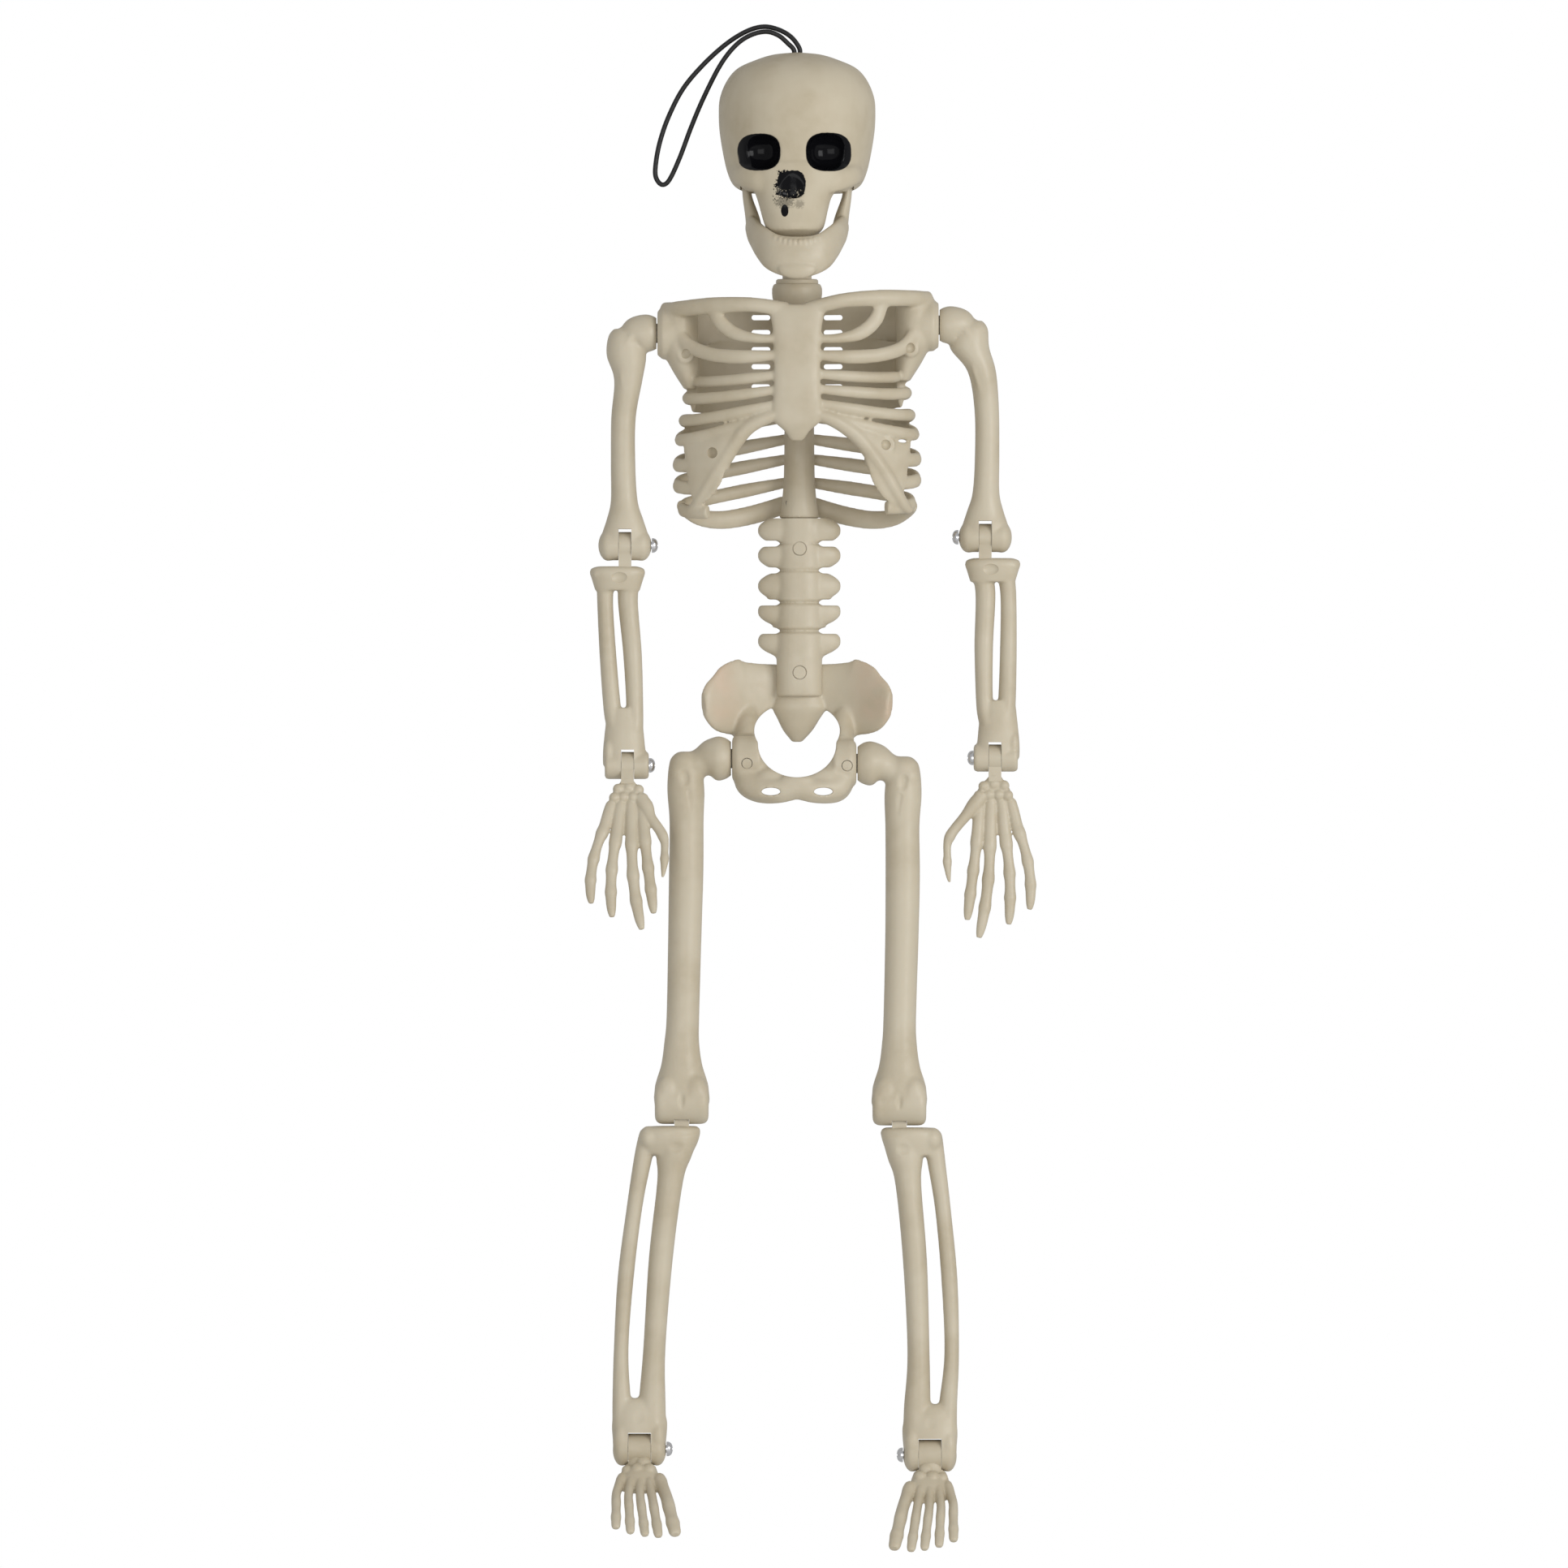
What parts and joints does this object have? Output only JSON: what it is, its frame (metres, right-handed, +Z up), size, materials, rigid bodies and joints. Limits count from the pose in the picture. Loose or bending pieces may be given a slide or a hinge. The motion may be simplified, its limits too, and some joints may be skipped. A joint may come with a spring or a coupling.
{
  "type": "hanging skeleton figure",
  "caption": "Posable hanging skeleton figure in moulded plastic, with a hinged jaw, turning neck, pinned or screwed limb joints and a cord loop at the crown.",
  "frame": {"origin": "the cord hole in the crown of the skull", "axes": "+Z up along the body towards the crown, the face looks along -Y, +X is the figure's own left"},
  "size_m": [0.1202, 0.0582, 0.4083],
  "materials": {
    "bone_plastic": "warm beige moulded plastic with a soft sheen, black paint in the eye sockets and on the nose",
    "steel": "bright zinc-plated steel",
    "cord": "black braided elastic cord"
  },
  "bodies": {
    "head": {"skull_front": "bone_plastic", "skull_back": "bone_plastic", "jaw_pins": "steel", "hanging_cord": "cord", "cord_knot": "cord"},
    "jaw": {"jaw": "bone_plastic"},
    "torso": {"neck": "bone_plastic", "ribcage_front": "bone_plastic", "ribcage_back": "bone_plastic", "lumbar_spine": "bone_plastic", "pelvis_front": "bone_plastic", "pelvis_back": "bone_plastic"},
    "upper_arm_right": {"humerus_right": "bone_plastic", "elbow_screw_right": "steel"},
    "forearm_right": {"forearm_right": "bone_plastic", "wrist_screw_right": "steel"},
    "hand_right": {"hand_right": "bone_plastic"},
    "thigh_right": {"femur_right": "bone_plastic", "knee_pin_right": "steel"},
    "shin_right": {"shin_right": "bone_plastic", "ankle_screw_right": "steel"},
    "foot_right": {"foot_right": "bone_plastic"},
    "upper_arm_left": {"humerus_left": "bone_plastic", "elbow_screw_left": "steel"},
    "forearm_left": {"forearm_left": "bone_plastic", "wrist_screw_left": "steel"},
    "hand_left": {"hand_left": "bone_plastic"},
    "thigh_left": {"femur_left": "bone_plastic", "knee_pin_left": "steel"},
    "shin_left": {"shin_left": "bone_plastic", "ankle_screw_left": "steel"},
    "foot_left": {"foot_left": "bone_plastic"}
  },
  "joints": [
    {"name": "neck_turn", "type": "hinge", "parent": "head", "child": "torso", "pos_m": [0, 0.004, -0.045], "axis": [0, 0, 1], "range_deg": [-60, 60]},
    {"name": "jaw_open", "type": "hinge", "parent": "head", "child": "jaw", "pos_m": [0, -0.003, -0.034], "axis": [1, 0, 0], "range_deg": [0, 14]},
    {"name": "shoulder_right", "type": "hinge", "parent": "torso", "child": "upper_arm_right", "pos_m": [-0.0374, 0, -0.0752], "axis": [-1, 0, 0], "range_deg": [-60, 150]},
    {"name": "elbow_right", "type": "hinge", "parent": "upper_arm_right", "child": "forearm_right", "pos_m": [-0.0461, 0, -0.132], "axis": [-1, 0, 0], "range_deg": [-95, 95]},
    {"name": "wrist_right", "type": "hinge", "parent": "forearm_right", "child": "hand_right", "pos_m": [-0.0454, 0, -0.1909], "axis": [-1, 0, 0], "range_deg": [-80, 80]},
    {"name": "hip_right", "type": "hinge", "parent": "torso", "child": "thigh_right", "pos_m": [-0.0174, 0, -0.1891], "axis": [-1, 0, 0], "range_deg": [-80, 100]},
    {"name": "knee_right", "type": "hinge", "parent": "thigh_right", "child": "shin_right", "pos_m": [-0.0309, 0, -0.281], "axis": [1, 0, 0], "range_deg": [0, 100]},
    {"name": "ankle_right", "type": "hinge", "parent": "shin_right", "child": "foot_right", "pos_m": [-0.0422, 0, -0.374], "axis": [-1, 0, 0], "range_deg": [-40, 40]},
    {"name": "shoulder_left", "type": "hinge", "parent": "torso", "child": "upper_arm_left", "pos_m": [0.0379, 0, -0.073], "axis": [-1, 0, 0], "range_deg": [-60, 150]},
    {"name": "elbow_left", "type": "hinge", "parent": "upper_arm_left", "child": "forearm_left", "pos_m": [0.0504, 0, -0.1298], "axis": [-1, 0, 0], "range_deg": [-95, 95]},
    {"name": "wrist_left", "type": "hinge", "parent": "forearm_left", "child": "hand_left", "pos_m": [0.053, 0, -0.1889], "axis": [-1, 0, 0], "range_deg": [-80, 80]},
    {"name": "hip_left", "type": "hinge", "parent": "torso", "child": "thigh_left", "pos_m": [0.0159, 0, -0.1904], "axis": [-1, 0, 0], "range_deg": [-80, 100]},
    {"name": "knee_left", "type": "hinge", "parent": "thigh_left", "child": "shin_left", "pos_m": [0.0274, 0, -0.2814], "axis": [1, 0, 0], "range_deg": [0, 100]},
    {"name": "ankle_left", "type": "hinge", "parent": "shin_left", "child": "foot_left", "pos_m": [0.0356, 0, -0.3756], "axis": [-1, 0, 0], "range_deg": [-40, 40]}
  ]
}
